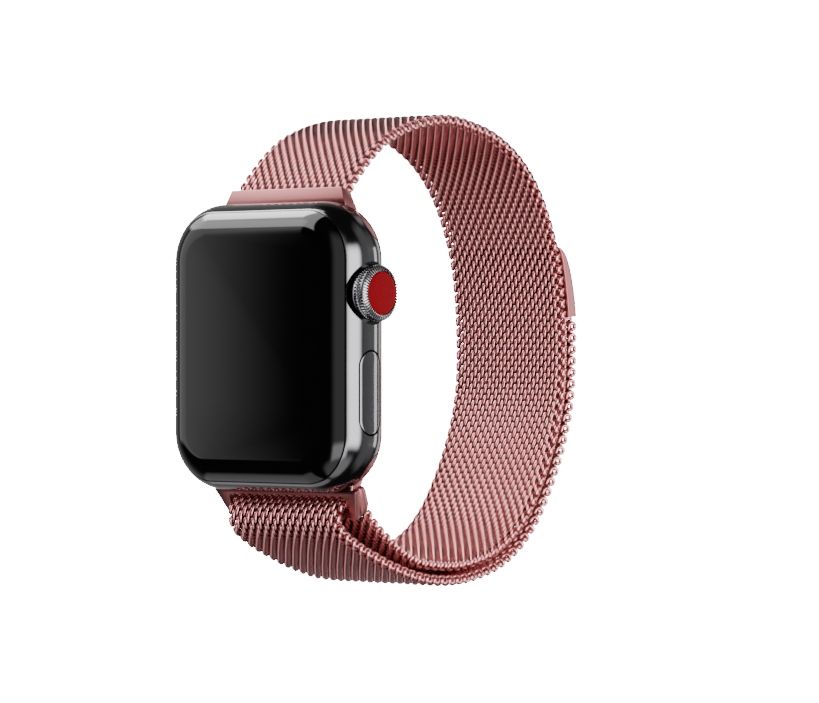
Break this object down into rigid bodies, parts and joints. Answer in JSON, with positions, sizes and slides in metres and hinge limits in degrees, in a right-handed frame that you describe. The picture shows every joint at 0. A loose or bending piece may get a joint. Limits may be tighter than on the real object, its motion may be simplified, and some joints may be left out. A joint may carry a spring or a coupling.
{
  "type": "smartwatch",
  "caption": "Rectangular smartwatch with rounded steel case, rotating crown, side button and a woven metal loop strap closed by a magnetic clasp.",
  "frame": {"origin": "centre of the wrist opening, half way across the strap", "axes": "-Y out of the display, +Z towards twelve o'clock, +X towards the crown"},
  "size_m": [0.0351, 0.0605, 0.0663],
  "materials": {
    "black_steel": "gloss black coated stainless steel",
    "cover_glass": "gloss black glass, opaque where the display is off",
    "display": "dark unlit display",
    "seal_rubber": "matt black rubber",
    "back_ceramic": "gloss black ceramic",
    "back_crystal": "dark tinted crystal",
    "lens_crystal": "tinted clear crystal",
    "red_enamel": "satin red enamel",
    "rose_metal": "satin rose pink coated steel",
    "rose_mesh": "rose pink coated woven steel wire",
    "copper": "enamelled copper wire",
    "cell_foil": "grey pouch foil",
    "module_resin": "black moulding resin",
    "steel": "satin stainless steel"
  },
  "bodies": {
    "case": {"back_cover": "back_ceramic", "back_crystal": "back_crystal", "battery": "cell_foil", "case_shell": "black_steel", "charging_coil": "copper", "charging_magnet": "steel", "cover_glass": "cover_glass", "crown_bushing": "steel", "crown_encoder_sensor": "module_resin", "crown_seal": "seal_rubber", "crown_switch": "module_resin", "display_gasket": "seal_rubber", "display_panel": "display", "haptic_housing": "steel", "lower_release_spring": "steel", "microphone": "steel", "module_screw_1": "steel", "module_screw_2": "steel", "module_screw_3": "steel", "module_screw_4": "steel", "sensor_board": "module_resin", "sensor_led_1": "module_resin", "sensor_led_2": "module_resin", "sensor_lens_1": "lens_crystal", "sensor_lens_2": "lens_crystal", "sensor_lens_3": "lens_crystal", "sensor_lens_4": "lens_crystal", "sensor_photodiode_1": "module_resin", "sensor_photodiode_2": "module_resin", "side_button_bracket": "steel", "side_button_seal": "seal_rubber", "side_button_switch": "module_resin", "speaker_module": "module_resin", "support_frame": "steel", "system_module": "module_resin", "upper_release_spring": "steel"},
    "haptic_mass": {"haptic_mass": "steel"},
    "crown_plunger": {"crown_thrust_plate": "steel"},
    "crown": {"crown_knob": "black_steel", "crown_cap": "red_enamel", "crown_shaft": "steel", "crown_retaining_clip": "steel", "crown_encoder_drum": "steel"},
    "side_button": {"side_button": "black_steel"},
    "upper_release": {"upper_release_button": "black_steel"},
    "lower_release": {"lower_release_button": "black_steel"},
    "strap": {"upper_lug": "rose_metal", "strap": "rose_mesh"},
    "lower_lug": {"lower_lug": "rose_metal"},
    "upper_latch": {"upper_latch": "steel"},
    "lower_latch": {"lower_latch": "steel"},
    "tail_lower": {"strap_tail_lower": "rose_mesh"},
    "tail_upper": {"strap_tail_upper": "rose_mesh", "clasp_plate": "rose_metal", "clasp_magnet": "steel"}
  },
  "joints": [
    {"name": "crown_push", "type": "slide", "parent": "case", "child": "crown_plunger", "axis": [-1, 0, 0], "range_m": [0, 0.0003], "stiffness_N_per_m": 2500, "springref_m": -0.0002},
    {"name": "crown_spin", "type": "hinge", "parent": "crown_plunger", "child": "crown", "pos_m": [0.017, -0.028, 0.0072], "axis": [1, 0, 0], "continuous": true},
    {"name": "side_button_push", "type": "slide", "parent": "case", "child": "side_button", "axis": [-1, 0, 0], "range_m": [0, 0.0003], "stiffness_N_per_m": 3000, "springref_m": -0.0002},
    {"name": "upper_release_push", "type": "slide", "parent": "case", "child": "upper_release", "axis": [0, -1, 0], "range_m": [0, 0.0006], "stiffness_N_per_m": 1500, "springref_m": -0.0004},
    {"name": "lower_release_push", "type": "slide", "parent": "case", "child": "lower_release", "axis": [0, -1, 0], "range_m": [0, 0.0006], "stiffness_N_per_m": 1500, "springref_m": -0.0004},
    {"name": "haptic_slide", "type": "slide", "parent": "case", "child": "haptic_mass", "axis": [1, 0, 0], "range_m": [-0.0005, 0.0005], "stiffness_N_per_m": 800},
    {"name": "strap_slide", "type": "slide", "parent": "case", "child": "strap", "axis": [1, 0, 0], "range_m": [0, 0.045]},
    {"name": "lower_lug_slide", "type": "slide", "parent": "case", "child": "lower_lug", "axis": [1, 0, 0], "range_m": [0, 0.045]},
    {"name": "upper_latch_slide", "type": "slide", "parent": "strap", "child": "upper_latch", "axis": [0, 0, 1], "range_m": [0, 0.0006]},
    {"name": "lower_latch_slide", "type": "slide", "parent": "lower_lug", "child": "lower_latch", "axis": [0, 0, -1], "range_m": [0, 0.0006]},
    {"name": "tail_peel", "type": "hinge", "parent": "strap", "child": "tail_lower", "pos_m": [0, -0.01892, -0.02977], "axis": [-1, 0, 0], "range_deg": [0, 60]},
    {"name": "clasp_peel", "type": "hinge", "parent": "tail_lower", "child": "tail_upper", "pos_m": [0, 0.01708, -0.02613], "axis": [-1, 0, 0], "range_deg": [0, 70]}
  ],
  "couplings": [
    {"joint": "lower_lug_slide", "follows": "strap_slide", "ratio": 1},
    {"joint": "upper_latch_slide", "follows": "upper_release_push", "ratio": 1},
    {"joint": "lower_latch_slide", "follows": "lower_release_push", "ratio": 1}
  ]
}
